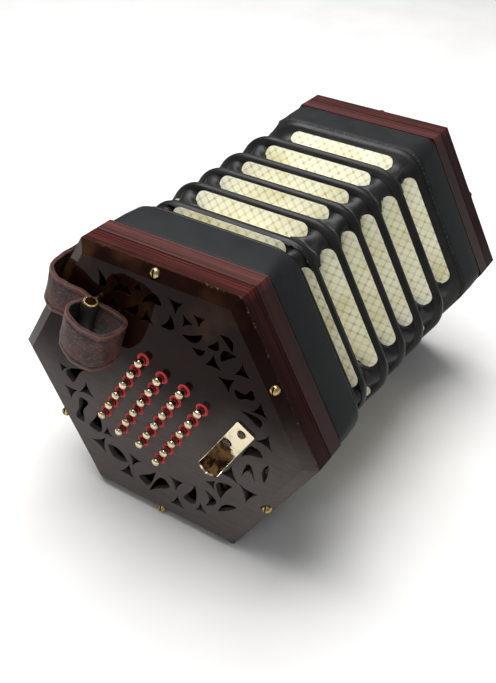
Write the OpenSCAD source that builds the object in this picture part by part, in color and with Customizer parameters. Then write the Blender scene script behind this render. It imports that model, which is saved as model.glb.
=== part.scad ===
// Forty-eight button concertina: two fretted hexagonal ends joined by a six-fold bellows.
// X runs along the instrument, the left-hand end at -X; Z is up; it rests on one flat of the hexagon.

/* [Wooden ends] */
// Distance across the flats of the hexagon
across_flats = 160; // [150:1:170]
// Depth of the fretted end's side walls
end_depth = 11; // [10:0.5:13]
// Depth of the action box
action_depth = 11; // [11:0.5:14]
// Height of the raised panel above the side walls
panel_rise = 4; // [3:0.5:5]
// Width of the bevel around the raised panel
bevel_width = 6; // [5:0.5:7]
// Thickness of the fretted panel
panel_thick = 3.5; // [3:0.25:3.5]
// Thickness of the wooden side walls
wall_thick = 6; // [6:0.5:7]

/* [Bellows] */
// Depth of each leather-covered bellows frame
frame_depth = 26; // [24:1:28]
// Thickness of the bellows frame's wall
frame_thick = 10; // [9:0.5:12]
// Length of the bellows between its frames at rest
bellows_length = 142; // [130:1:150]
// Length of a folded card, from ridge to valley
card_length = 26; // [23:1:28]
// Width of each ridge binding
ridge_width = 4; // [3:0.5:5]

/* [Buttons] */
// Distance between buttons in a row
button_pitch = 10.7; // [10.4:0.1:11]
// Distance between rows
row_gap = 12.85; // [12.5:0.05:13.2]
// Radius of a button's cap
button_r = 2.35; // [2.2:0.05:2.5]
// Radius of a button's stalk
stalk_r = 1.75; // [1.6:0.05:1.8]
// Outer radius of the felt bushing round a button
bushing_r = 3.5; // [3.3:0.1:3.8]
// Height of a button's top above the panel
button_rise = 5.8; // [5:0.1:6.5]

/* [Thumb strap] */
// Width of the strap
strap_width = 22; // [18:1:24]
// Thickness of the strap
strap_thick = 2; // [1.6:0.1:2.2]

/* [Finger plate] */
// Width of the finger plate
rest_width = 11.8; // [11:0.2:13]
// Height of the finger plate's lip
rest_lip = 9; // [7:0.5:10]
// Thickness of the finger plate
rest_thick = 1.2; // [1:0.1:1.4]

/* [Hidden] */

// How wide each fold stands open at rest, from the left-hand end.
FOLDS = [13.5, 24, 23, 23, 28, 30.5];
apothem = across_flats / 2;
frame_corner = across_flats * 0.5693;
ridge_corner = across_flats * 0.554;
wood_depth = end_depth + action_depth;
half_bellows = bellows_length / 2;
half_length = half_bellows + frame_depth + wood_depth;
board_thick = 5;
bolt_n = apothem - wall_thick / 2;
bolt_r = 1.5;
bolt_head_r = 2.6;

// Colours
rosewood = [0.36, 0.16, 0.13];
dark_panel = [0.22, 0.16, 0.15];
pale_wood = [0.72, 0.56, 0.38];
brass = [0.78, 0.64, 0.32];
nickel = [0.80, 0.76, 0.66];
red_felt = [0.62, 0.08, 0.10];
black_leather = [0.07, 0.07, 0.07];
brown_leather = [0.26, 0.15, 0.11];
steel = [0.55, 0.56, 0.58];

// Rows 1 to 4 start beside the thumb strap; row_mid is where each row's middle lies.
row_first = -19.1;
row_mid = [-8.8, -8.8, -3.8, -4.6];

// Fretwork openings. Kind 0 is a three-pointed star: [0, centre y, z, tip y, z, 0, 0].
// Kinds 1 comma, 2 leaf or crescent, 3 dumb-bell: [kind, start y, z, end y, z, half width, bow].
FRETS = [
    [0, 64, -4.3, 65, -8.3, 0, 0], [1, 60, -10.5, 48, 0.5, 3.4, -1.5], [0, 48, -13.6, 48, -6.8, 0, 0],
    [0, 59.7, -19, 60, -25, 0, 0], [3, 50, -20.5, 54.5, -38, 3.6, 1], [1, 45, -40, 41, -24.5, 3.8, 1.5],
    [0, 35, -37.3, 35.3, -32.6, 0, 0], [0, 40.6, -48, 37, -54.5, 0, 0], [2, 35.5, -46, 22, -52.5, 4.4, 1],
    [0, 17, -48.3, 21, -44, 0, 0], [0, 22, -60, 16.6, -64.4, 0, 0], [1, 12.5, -61.5, 2.5, -49.5, 3.3, 1],
    [1, -5.5, -53, 7.5, -66.5, 3.3, 1], [0, -11.3, -49.8, -11, -56, 0, 0], [0, -12, -64.6, -12, -58.5, 0, 0],
    [1, -18.5, -60, -23.5, -44, 3.2, 1.5], [0, -27.5, -60.3, -23.5, -63.2, 0, 0],
    [2, -29.5, -44.5, -30.5, -56, 2.4, -5], [0, -34, -38, -36.5, -34, 0, 0], [2, -38.5, -55.5, -50, -46, 1.9, -1],
    [2, -47, -33, -40, -45.5, 3.2, 4], [0, -56, -32.6, -55, -40, 0, 0], [0, -45, -25, -46, -18, 0, 0],
    [2, -52, -22.5, -60, -22.5, 2.6, -8], [2, -67, -7, -65, -20, 1.7, 0.8], [1, -62.5, -1.5, -51.5, -9.5, 3.2, 2],
    [0, -64.7, 6.5, -66.5, 12.7, 0, 0], [1, -62, 15.5, -49.5, 19.5, 2.4, 1], [0, -60.7, 24, -61, 30, 0, 0],
    [3, -46.5, 28.5, -57, 32.5, 3, 1.5], [0, -42, 32.5, -46.8, 36.8, 0, 0], [0, -50.3, 42.3, -50, 48.3, 0, 0],
    [2, -46.8, 49.8, -38.2, 43.3, 2.4, 2.5], [0, -34, 40.7, -34, 46.9, 0, 0], [2, -37.5, 58.5, -44.5, 51.5, 2, -2],
    [2, -30.5, 49, -36.5, 54.8, 2, 2.2], [2, -22, 45, -29.5, 46, 1.9, 2], [2, -16, 50, -28, 54.5, 2.1, 2.5],
    [0, -18.7, 58.2, -16.5, 62.4, 0, 0], [0, -25.8, 62, -30, 64.4, 0, 0], [2, -3.5, 50, -9.5, 58.5, 2.4, 3.5],
    [0, -12.6, 65.2, -12.5, 59.3, 0, 0], [1, -4, 64, 7.5, 58.5, 2.9, 2], [0, 4.5, 51, 4.5, 56.5, 0, 0],
    [2, 9.5, 57, 18, 51.5, 2.4, -2.5], [0, 9, 66.5, 9, 71, 0, 0], [1, 14, 63, 26, 58, 2.8, 2],
    [0, 21.5, 67, 26, 69.4, 0, 0], [0, 25, 51.5, 25, 56.6, 0, 0], [1, 31, 59, 34, 69.5, 2.3, 1.5]
];

// Where the strap's centre line runs, seen along its width: [distance along the panel, depth].
STRAP_PATH = [
    [79.4, 18], [79.3, 8], [79.1, 1.5], [78.3, -3.5], [75.5, -7.8], [71.5, -10], [67.5, -10.7],
    [63, -10], [59, -8.9], [54, -8.4], [49, -8.4], [44.5, -8.1], [40, -6.9], [35, -6.2], [30.5, -6.6],
    [27.2, -8.8], [26.2, -12.5], [26.3, -17.5], [27.6, -22], [30.8, -25.2], [35, -26.8], [40, -27.3],
    [45.3, -26.5], [49.8, -24.7], [52.5, -22], [53, -18.8], [52, -15.2], [51.2, -11.8]
];
// Turns the strap's width from the vertical.
strap_turn = 17.3;

function button_st(row, i) = [
    row_first + row * row_gap,
    row_mid[row] + (2.5 - i) * button_pitch
];
// Panel coordinates [y, z] from across-row and along-row distances.
function st_yz(st) = [
    -0.866 * st[0] - 0.5 * st[1],
    -0.5 * st[0] + 0.866 * st[1]
];
module along_x(from, depth) {
    translate([from, 0, 0]) rotate([90, 0, 90]) linear_extrude(depth) children();
}
// A round hole or rod along X at panel coordinates p.
module rod(p, r, from, to, sides = 32) {
    translate([from, p[0], p[1]]) rotate([0, 90, 0]) cylinder(r = r, h = to - from, $fn = sides);
}
module hexagon(n) {
    circle(r = n / cos(30), $fn = 6);
}
// The left-hand end is drawn from its outer edge inwards, centred on the hexagon.
module left() {
    translate([-half_length, 0, apothem]) children();
}
module right() {
    mirror([1, 0, 0]) left() children();
}

// ---- Fretted end ----
// A deltoid: three cusps joined by hollow curves.
module star(s) {
    polygon([for (i = [0:26]) let (a = i * 360 / 27)
        s / 3 * [2 * cos(a) + cos(2 * a), 2 * sin(a) - sin(2 * a)]]);
}
function bulge(kind, t) =
    kind == 1 ? 1.25 * pow(sin(180 * pow(t, 0.45)), 0.8) * (1 - 0.55 * t)
    : kind == 3 ? 0.4 + 0.6 * pow(abs(cos(180 * t)), 1.5) - 0.5 * pow(abs(2 * t - 1), 8)
    : pow(sin(180 * t), 0.8);
function blade_x(t, len) = len * (t - 0.5);
function blade_y(t, bow) = bow * (1 - pow(2 * t - 1, 2));
module blade(kind, len, wid, bow) {
    n = 11;
    ts = [for (i = [0:n]) 0.5 - 0.492 * cos(180 * i / n)];
    polygon(concat(
        [for (t = ts) [blade_x(t, len), blade_y(t, bow) + wid * bulge(kind, t)]],
        [for (i = [n:-1:0]) [blade_x(ts[i], len), blade_y(ts[i], bow) - wid * bulge(kind, ts[i])]]
    ));
}
module frets() {
    for (f = FRETS) {
        d = [f[3] - f[1], f[4] - f[2]];
        a = atan2(d[1], d[0]);
        if (f[0] == 0) translate([f[1], f[2]]) rotate(a) star(norm(d));
        else translate([f[1] + f[3], f[2] + f[4]] / 2) rotate(a) blade(f[0], norm(d), f[5], f[6]);
    }
}
// Raised panel with its bevel, as one hexagonal frustum.
module raised_panel() {
    top = apothem - bevel_width;
    ring = [for (i = [0:5]) [cos(60 * i), sin(60 * i)] / cos(30)];
    polyhedron(
        points = concat(
            [for (p = ring) [0.02, apothem * p[0], apothem * p[1]]],
            [for (p = ring) [-panel_rise, top * p[0], top * p[1]]]
        ),
        faces = concat(
            [[5, 4, 3, 2, 1, 0]],
            [[6, 7, 8, 9, 10, 11]],
            [for (i = [0:5]) [i, (i + 1) % 6, 6 + (i + 1) % 6, 6 + i]]
        )
    );
}
module bolt_places() {
    for (a = [30:60:330]) translate([0, bolt_n * cos(a), bolt_n * sin(a)]) children();
}
module end_plate() {
    difference() {
        union() {
            raised_panel();
            along_x(0, end_depth) difference() {
                hexagon(apothem);
                hexagon(apothem - wall_thick);
            }
        }
        along_x(panel_thick - panel_rise, panel_rise + 1) hexagon(apothem - wall_thick);
        along_x(-panel_rise - 1, panel_thick + 2) frets();
        for (row = [0:3], i = [0:5]) rod(st_yz(button_st(row, i)), bushing_r, -panel_rise - 1, 1);
        bolt_places() rod([0, 0], bolt_r + 0.15, -5, end_depth + 1);
        bolt_places() rod([0, 0], bolt_head_r + 0.2, -5, -1.4);
        for (k = [0, 1]) {
            rod(rest_screw(k), 0.9, -5, -1, 24);
            rod(bridge_pin(k), pin_r, -5, 1);
        }
    }
}
module button_bushings() {
    for (row = [0:3], i = [0:5])
        difference() {
            rod(st_yz(button_st(row, i)), bushing_r, -panel_rise - 0.3, panel_thick - panel_rise);
            rod(st_yz(button_st(row, i)), stalk_r + 0.25, -panel_rise - 1, 1);
        }
}

// ---- Action ----
module action_box() {
    difference() {
        along_x(end_depth, action_depth) difference() {
            hexagon(apothem);
            hexagon(apothem - wall_thick);
        }
        along_x(end_depth - 1, 1.6) difference() {
            hexagon(apothem + 1);
            hexagon(apothem - 0.7);
        }
        bolt_places() rod([0, 0], bolt_r + 0.15, end_depth - 1, wood_depth + 1);
        strap_screw_hole();
    }
}
board_x = wood_depth - board_thick;
// Pads sit on a circle, twelve to each side of the rows. Outer rows take the places in
// OUTER and inner rows those in INNER, so that no two levers cross.
pad_circle = 62;
OUTER = [2, 3, 5, 6, 8, 9];
INNER = [0, 1, 4, 7, 10, 11];
function pad_yz(row, i) =
    let (k = row == 0 || row == 3 ? OUTER[i] : INNER[i], a = 18 + 14 * k)
    st_yz([(row < 2 ? -1 : 1) * pad_circle * sin(a), pad_circle * cos(a)]);
module action_board() {
    difference() {
        along_x(board_x, board_thick) hexagon(apothem - wall_thick);
        for (row = [0:3], i = [0:5]) {
            rod(pad_yz(row, i), 4, board_x - 1, wood_depth + 1);
            rod(st_yz(button_st(row, i)), 1.1, board_x - 1, wood_depth + 1, 24);
        }
    }
}
lever_x = 9.3;
lever_h = 2;
module lever(b, p) {
    d = p - b;
    len = norm(d);
    a = atan2(d[1], d[0]);
    post = b + [cos(a), sin(a)] * min(18, len * 0.45);
    below = lever_x + lever_h;
    translate([0, b[0], b[1]]) rotate([a, 0, 0]) along_x(lever_x, lever_h) difference() {
        union() {
            circle(r = 2, $fn = 24);
            translate([0, -0.65]) square([len + 2, 1.3]);
        }
        circle(r = 1.3, $fn = 24);
    }
    rod(post, 1, below - 0.3, board_x, 16);
    rod(p, 1.5, below - 0.3, board_x - 2.8, 16);
    rod(p, 5.2, board_x - 3, board_x, 32);
}
module levers() {
    for (row = [0:3], i = [0:5]) lever(st_yz(button_st(row, i)), pad_yz(row, i));
}
module button(row, i) {
    p = st_yz(button_st(row, i));
    top = -panel_rise - button_rise;
    translate([top, p[0], p[1]]) rotate([0, 90, 0]) rotate_extrude($fn = 40) polygon([
        [0, 0], [0.8, 0.1], [1.5, 0.35], [2.1, 0.8], [button_r, 1.3], [button_r, 1.9],
        [stalk_r, 2.4], [stalk_r, lever_x - top - 0.3], [0.8, lever_x - top - 0.3],
        [0.8, board_x + 1.4 - top], [0, board_x + 1.4 - top]
    ]);
}
module button_row(row) {
    for (i = [0:5]) button(row, i);
}

// ---- Bolts and screws ----
module end_bolts() {
    bolt_places() {
        rod([0, 0], bolt_r, -1.6, wood_depth + 14);
        difference() {
            translate([-4.3, 0, 0]) rotate([0, 90, 0]) rotate_extrude($fn = 40) polygon([
                [0, 0], [1, 0.15], [1.8, 0.5], [2.4, 1.2], [bolt_head_r, 1.9],
                [bolt_head_r, 2.9], [0, 2.9]
            ]);
            translate([-5, -0.45, -4]) cube([2.1, 0.9, 8]);
        }
    }
}

// ---- Reeds and bellows frame ----
pan_x = wood_depth + 3;
module reed_pan() {
    difference() {
        along_x(pan_x, 4) hexagon(apothem - frame_thick - 0.2);
        for (k = [0:23]) rotate([15 * k + 7.5, 0, 0]) translate([pan_x - 1, 26, -1.6]) cube([6, 26, 3.2]);
    }
    for (k = [0:23]) rotate([15 * k, 0, 0]) translate([pan_x + 4, 24, -0.8]) cube([9, 44, 1.6]);
    along_x(pan_x + 4, 9) difference() {
        circle(r = 25, $fn = 64);
        circle(r = 22, $fn = 64);
    }
}
module reeds() {
    for (k = [0:23]) rotate([15 * k + 7.5, 0, 0]) {
        difference() {
            translate([pan_x + 4, 27, -2.4]) cube([2, 29, 4.8]);
            translate([pan_x + 3, 30, -1]) cube([4, 20, 2]);
        }
        translate([pan_x + 6, 31, -0.8]) cube([0.5, 24, 1.6]);
    }
}
module bellows_frame() {
    n = apothem;
    difference() {
        union() {
            along_x(wood_depth, 0.8) hexagon(n - 0.9);
            along_x(wood_depth + 0.8, frame_depth - 0.8) intersection() {
                hexagon(n);
                circle(r = frame_corner, $fn = 96);
            }
        }
        along_x(wood_depth - 1, frame_depth + 2) hexagon(n - frame_thick);
        bolt_places() rod([0, 0], bolt_r + 0.1, wood_depth - 1, wood_depth + 15);
    }
    for (a = [0:60:300])
        rotate([a + 30, 0, 0]) translate([pan_x + 4.2, n - frame_thick - 5, 36]) cube([8, 5, 3]);
}

// ---- Bellows ----
function first(n) = n == 0 ? 0 : FOLDS[n - 1] + first(n - 1);
// Where ridge k lies along X; 0 and 6 are the two frames.
function ridge_x(k) = -half_bellows + bellows_length * first(k) / first(len(FOLDS));
function fold_depth(k) = sqrt(pow(card_length, 2) - pow((ridge_x(k + 1) - ridge_x(k)) / 2, 2));
module bellows_ridge(k) {
    x = ridge_x(k);
    translate([0, 0, apothem]) along_x(x - ridge_width / 2, ridge_width) difference() {
        intersection() {
            hexagon(apothem);
            circle(r = ridge_corner, $fn = 96);
        }
        hexagon(apothem - 6);
    }
}
// Zig-zag skin: the crests stop just inside the ridge bindings.
crest = apothem - 6.4;
skin_thick = 2.8;
end_gap = 0.4;
module bellows_skin() {
    color(black_leather) skin_shape();
}
module skin_shape() {
    last = len(FOLDS) - 1;
    outer = concat(
        [[-half_bellows + 0.02, crest]],
        [for (k = [0:last]) each [
            [(ridge_x(k) + ridge_x(k + 1)) / 2, apothem - fold_depth(k)],
            [ridge_x(k + 1) - (k == last ? end_gap : 0), crest]
        ]]
    );
    inner = [for (i = [len(outer) - 1:-1:0]) [outer[i][0], outer[i][1] - skin_thick]];
    translate([0, 0, apothem]) rotate([0, 90, 0]) rotate([0, 0, 30])
        rotate_extrude($fn = 6) polygon([for (p = concat(outer, inner)) [p[1] / cos(30), p[0]]]);
}

// ---- Thumb strap ----
// Smooth curve through hand-set points.
function spline(a, b, c, d, t) =
    0.5 * ((2 * b) + (c - a) * t + (2 * a - 5 * b + 4 * c - d) * t * t
    + (3 * b - a - 3 * c + d) * t * t * t);
function smooth(p) = let (n = len(p) - 1) [
    for (i = [0:n - 1], s = [0:3])
        spline(p[max(i - 1, 0)], p[i], p[i + 1], p[min(i + 2, n)], s / 4),
    p[n]
];
function side(p, w) = let (n = len(p) - 1) [
    for (i = [0:n])
        let (d = p[min(i + 1, n)] - p[max(i - 1, 0)], u = d / norm(d))
        p[i] + w * [-u[1], u[0]]
];
// Local frame of the strap: first axis along the panel, second along X, third along its width.
module strap_frame() {
    rotate([strap_turn, 0, 0]) children();
}
strap_top = 41;
module thumb_strap() {
    c = smooth(STRAP_PATH);
    l = side(c, strap_thick / 2);
    r = side(c, -strap_thick / 2);
    outline = concat(l, [for (i = [len(r) - 1:-1:0]) r[i]]);
    difference() {
        strap_frame() translate([0, 0, strap_top - strap_width]) linear_extrude(strap_width)
            polygon([for (q = outline) [q[1], q[0]]]);
        strap_screw_hole();
    }
}
// The screw that holds the strap's tail to the side wall.
screw_x = 14.5;
screw_v = 25;
module strap_screw_hole() {
    strap_frame() translate([screw_x, 60, screw_v]) rotate([-90, 0, 0]) cylinder(r = 1.7, h = 30, $fn = 32);
}
module strap_screw() {
    strap_frame() translate([screw_x, 0, screw_v]) rotate([-90, 0, 0]) {
        translate([0, 0, 71]) cylinder(r = 1.5, h = 10, $fn = 32);
        translate([0, 0, 80.4]) cylinder(r = 4.5, h = 1, $fn = 48);
        translate([0, 0, 81]) cylinder(r = 3, h = 3.2, $fn = 48);
    }
}
// Brass tube that holds the strap down, on two pins riveted through the panel.
bridge_u = 46.3;
bridge_x = -13;
bridge_r = 3.6;
bridge_len = strap_width + 5.4;
pin_r = 1.2;
function bridge_v(k) = strap_top - strap_width / 2 + (k == 0 ? 1 : -1) * (strap_width / 2 + 1.5);
function bridge_pin(k) = [
    bridge_u * cos(strap_turn) - bridge_v(k) * sin(strap_turn),
    bridge_u * sin(strap_turn) + bridge_v(k) * cos(strap_turn)
];
module strap_bridge() {
    strap_frame() translate([0, 0, strap_top - strap_width / 2 - bridge_len / 2])
        linear_extrude(bridge_len) translate([bridge_x, bridge_u]) rotate(180) difference() {
            circle(r = bridge_r, $fn = 48);
            circle(r = bridge_r - 0.8, $fn = 48);
        }
    for (k = [0, 1]) {
        rod(bridge_pin(k), pin_r, bridge_x + bridge_r - 0.55, 0.2);
        rod(bridge_pin(k), 2.2, panel_thick - panel_rise, 0.2);
    }
}

// ---- Finger plate ----
rest_mid = 41.8;
rest_top = 36;
rest_bend = 14;
rest_tip = 1;
function rest_screw(k) = st_yz([rest_mid + (k == 0 ? -2.4 : 0), k == 0 ? 18.5 : 30.5]);
// Turns local axes so that the first runs across the rows and the second along them.
module row_frame() {
    rotate([30, 0, 0]) children();
}
module finger_plate() {
    nu = 12;
    nv = 8;
    hw = rest_width / 2;
    lift = function(u, v) rest_lip * u * u + 1.6 * pow(max(0, -v), 2) * u;
    pts = [for (side = [0, 1], i = [0:nu], j = [0:nv])
        let (v = 2 * j / nv - 1, u = i / nu,
            t = rest_bend - u * (rest_bend - rest_tip - 4.5 * v * v))
        [-panel_rise - side * rest_thick - lift(u, v), -(rest_mid + v * hw), t]];
    row = nv + 1;
    base = (nu + 1) * row;
    quads = concat(
        [for (i = [0:nu - 1], j = [0:nv - 1])
            each tris(i * row + j, i * row + j + 1, (i + 1) * row + j + 1, (i + 1) * row + j)],
        [for (i = [0:nu - 1], j = [0:nv - 1])
            each tris(base + (i + 1) * row + j, base + (i + 1) * row + j + 1,
                base + i * row + j + 1, base + i * row + j)],
        [for (j = [0:nv - 1]) each tris(base + j, base + j + 1, j + 1, j)],
        [for (j = [0:nv - 1]) each tris(nu * row + j, nu * row + j + 1,
            base + nu * row + j + 1, base + nu * row + j)],
        [for (i = [0:nu - 1]) each tris(i * row, (i + 1) * row, base + (i + 1) * row, base + i * row)],
        [for (i = [0:nu - 1]) each tris(base + i * row + nv, base + (i + 1) * row + nv,
            (i + 1) * row + nv, i * row + nv)]
    );
    difference() {
        row_frame() union() {
            polyhedron(points = pts, faces = quads);
            translate([-panel_rise - rest_thick, -rest_mid - hw, rest_bend - 0.01])
                cube([rest_thick, rest_width, rest_top - rest_bend]);
        }
        for (k = [0, 1]) rod(rest_screw(k), 1.2, -9, 0, 24);
    }
}
function tris(a, b, c, d) = [[a, c, b], [a, d, c]];

module screw(p, from) {
    rod(p, 0.85, from, from + 3, 24);
    difference() {
        translate([from - 0.9, p[0], p[1]]) rotate([0, 90, 0]) rotate_extrude($fn = 32)
            polygon([[0, 0], [1.2, 0.15], [2, 0.6], [2.2, 0.9], [0, 0.9]]);
        translate([from - 1.2, p[0] - 3, p[1] - 0.25]) cube([0.7, 6, 0.5]);
    }
}
module fixing_screws() {
    for (k = [0, 1]) screw(rest_screw(k), -panel_rise - rest_thick - 0.02);
    strap_screw();
}

// ---- Named sub-parts ----
module lh_end_plate() { color(dark_panel) left() end_plate(); }
module lh_action_box() { color(rosewood) left() action_box(); }
module lh_action_board() { color(pale_wood) left() action_board(); }
module lh_levers() { color(brass) left() levers(); }
module lh_button_bushings() { color(red_felt) left() button_bushings(); }
module lh_end_bolts() { color(brass) left() end_bolts(); }
module lh_reed_pan() { color(pale_wood) left() reed_pan(); }
module lh_reeds() { color(brass) left() reeds(); }
module lh_bellows_frame() { color(black_leather) left() bellows_frame(); }
module lh_thumb_strap() { color(brown_leather) left() thumb_strap(); }
module lh_strap_bridge() { color(brass) left() strap_bridge(); }
module lh_finger_plate() { color(nickel) left() finger_plate(); }
module lh_screws() { color(brass) left() fixing_screws(); }
module lh_button(row, i) { color(nickel) left() button(row - 1, i - 1); }
module lh_button_11() { lh_button(1, 1); }
module lh_button_12() { lh_button(1, 2); }
module lh_button_13() { lh_button(1, 3); }
module lh_button_14() { lh_button(1, 4); }
module lh_button_15() { lh_button(1, 5); }
module lh_button_16() { lh_button(1, 6); }
module lh_button_21() { lh_button(2, 1); }
module lh_button_22() { lh_button(2, 2); }
module lh_button_23() { lh_button(2, 3); }
module lh_button_24() { lh_button(2, 4); }
module lh_button_25() { lh_button(2, 5); }
module lh_button_26() { lh_button(2, 6); }
module lh_button_31() { lh_button(3, 1); }
module lh_button_32() { lh_button(3, 2); }
module lh_button_33() { lh_button(3, 3); }
module lh_button_34() { lh_button(3, 4); }
module lh_button_35() { lh_button(3, 5); }
module lh_button_36() { lh_button(3, 6); }
module lh_button_41() { lh_button(4, 1); }
module lh_button_42() { lh_button(4, 2); }
module lh_button_43() { lh_button(4, 3); }
module lh_button_44() { lh_button(4, 4); }
module lh_button_45() { lh_button(4, 5); }
module lh_button_46() { lh_button(4, 6); }
module bellows_ridge_1() { color(black_leather) bellows_ridge(1); }
module bellows_ridge_2() { color(black_leather) bellows_ridge(2); }
module bellows_ridge_3() { color(black_leather) bellows_ridge(3); }
module bellows_ridge_4() { color(black_leather) bellows_ridge(4); }
module bellows_ridge_5() { color(black_leather) bellows_ridge(5); }
module rh_end_plate() { color(dark_panel) right() end_plate(); }
module rh_action_box() { color(rosewood) right() action_box(); }
module rh_action_board() { color(pale_wood) right() action_board(); }
module rh_levers() { color(brass) right() levers(); }
module rh_button_bushings() { color(red_felt) right() button_bushings(); }
module rh_end_bolts() { color(brass) right() end_bolts(); }
module rh_reed_pan() { color(pale_wood) right() reed_pan(); }
module rh_reeds() { color(brass) right() reeds(); }
module rh_bellows_frame() { color(black_leather) right() bellows_frame(); }
module rh_thumb_strap() { color(brown_leather) right() thumb_strap(); }
module rh_finger_plate() { color(nickel) right() finger_plate(); }
module rh_fixings() { color(brass) right() { strap_bridge(); fixing_screws(); } }
module rh_button_row_1() { color(nickel) right() button_row(0); }
module rh_button_row_2() { color(nickel) right() button_row(1); }
module rh_button_row_3() { color(nickel) right() button_row(2); }
module rh_button_row_4() { color(nickel) right() button_row(3); }

lh_end_plate();
lh_action_box();
lh_action_board();
lh_levers();
lh_button_bushings();
lh_end_bolts();
lh_reed_pan();
lh_reeds();
lh_bellows_frame();
lh_thumb_strap();
lh_strap_bridge();
lh_finger_plate();
lh_screws();
lh_button_11();
lh_button_12();
lh_button_13();
lh_button_14();
lh_button_15();
lh_button_16();
lh_button_21();
lh_button_22();
lh_button_23();
lh_button_24();
lh_button_25();
lh_button_26();
lh_button_31();
lh_button_32();
lh_button_33();
lh_button_34();
lh_button_35();
lh_button_36();
lh_button_41();
lh_button_42();
lh_button_43();
lh_button_44();
lh_button_45();
lh_button_46();
bellows_skin();
bellows_ridge_1();
bellows_ridge_2();
bellows_ridge_3();
bellows_ridge_4();
bellows_ridge_5();
rh_end_plate();
rh_action_box();
rh_action_board();
rh_levers();
rh_button_bushings();
rh_end_bolts();
rh_reed_pan();
rh_reeds();
rh_bellows_frame();
rh_thumb_strap();
rh_finger_plate();
rh_fixings();
rh_button_row_1();
rh_button_row_2();
rh_button_row_3();
rh_button_row_4();
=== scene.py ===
"""Looks of the hexagonal concertina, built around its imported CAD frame."""
import math
import random

import bpy
from mathutils import Matrix, Vector


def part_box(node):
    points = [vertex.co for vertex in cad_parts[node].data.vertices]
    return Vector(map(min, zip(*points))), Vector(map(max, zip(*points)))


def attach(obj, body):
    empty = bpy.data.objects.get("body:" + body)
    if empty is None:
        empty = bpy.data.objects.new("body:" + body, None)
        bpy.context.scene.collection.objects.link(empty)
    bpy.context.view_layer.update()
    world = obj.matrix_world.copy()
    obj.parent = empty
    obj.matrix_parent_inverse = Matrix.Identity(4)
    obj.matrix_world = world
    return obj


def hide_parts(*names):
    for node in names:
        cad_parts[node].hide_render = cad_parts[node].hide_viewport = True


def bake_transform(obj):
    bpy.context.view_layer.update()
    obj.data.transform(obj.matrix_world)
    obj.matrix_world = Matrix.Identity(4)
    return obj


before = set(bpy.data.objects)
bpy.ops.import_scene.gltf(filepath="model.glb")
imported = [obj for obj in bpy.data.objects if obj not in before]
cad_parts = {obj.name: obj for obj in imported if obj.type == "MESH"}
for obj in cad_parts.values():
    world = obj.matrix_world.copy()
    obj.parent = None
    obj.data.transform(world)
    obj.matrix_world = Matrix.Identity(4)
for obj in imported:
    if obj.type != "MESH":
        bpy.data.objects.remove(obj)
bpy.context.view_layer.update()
MM = 0.001

# ---- Sizes, in millimetres, from the frame ----
NEAR, FAR = "lh", "rh"
SIDES, FOLDS = 6, 6
WOOD_DEPTH, WALL_DEPTH = 22.0, 11.0   # of a whole wooden end, and of its outer ring alone
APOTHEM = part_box("lh_action_box")[1].z / MM / 2
HALF_LENGTH = -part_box("lh_action_box")[0].x / MM + WALL_DEPTH
FRAME_IN = HALF_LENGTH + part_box("lh_bellows_frame")[1].x / MM
PANEL_X = -4.0                        # the raised panel's face stands outside the walls' edge
RIDGES = [(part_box("bellows_ridge_%d" % k)[0].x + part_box("bellows_ridge_%d" % k)[1].x) / 2 / MM
          for k in range(1, FOLDS)]
STATIONS = [FRAME_IN - HALF_LENGTH] + RIDGES + [HALF_LENGTH - FRAME_IN]
END_BODY = {NEAR: "left_end", FAR: "right_end"}


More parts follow.
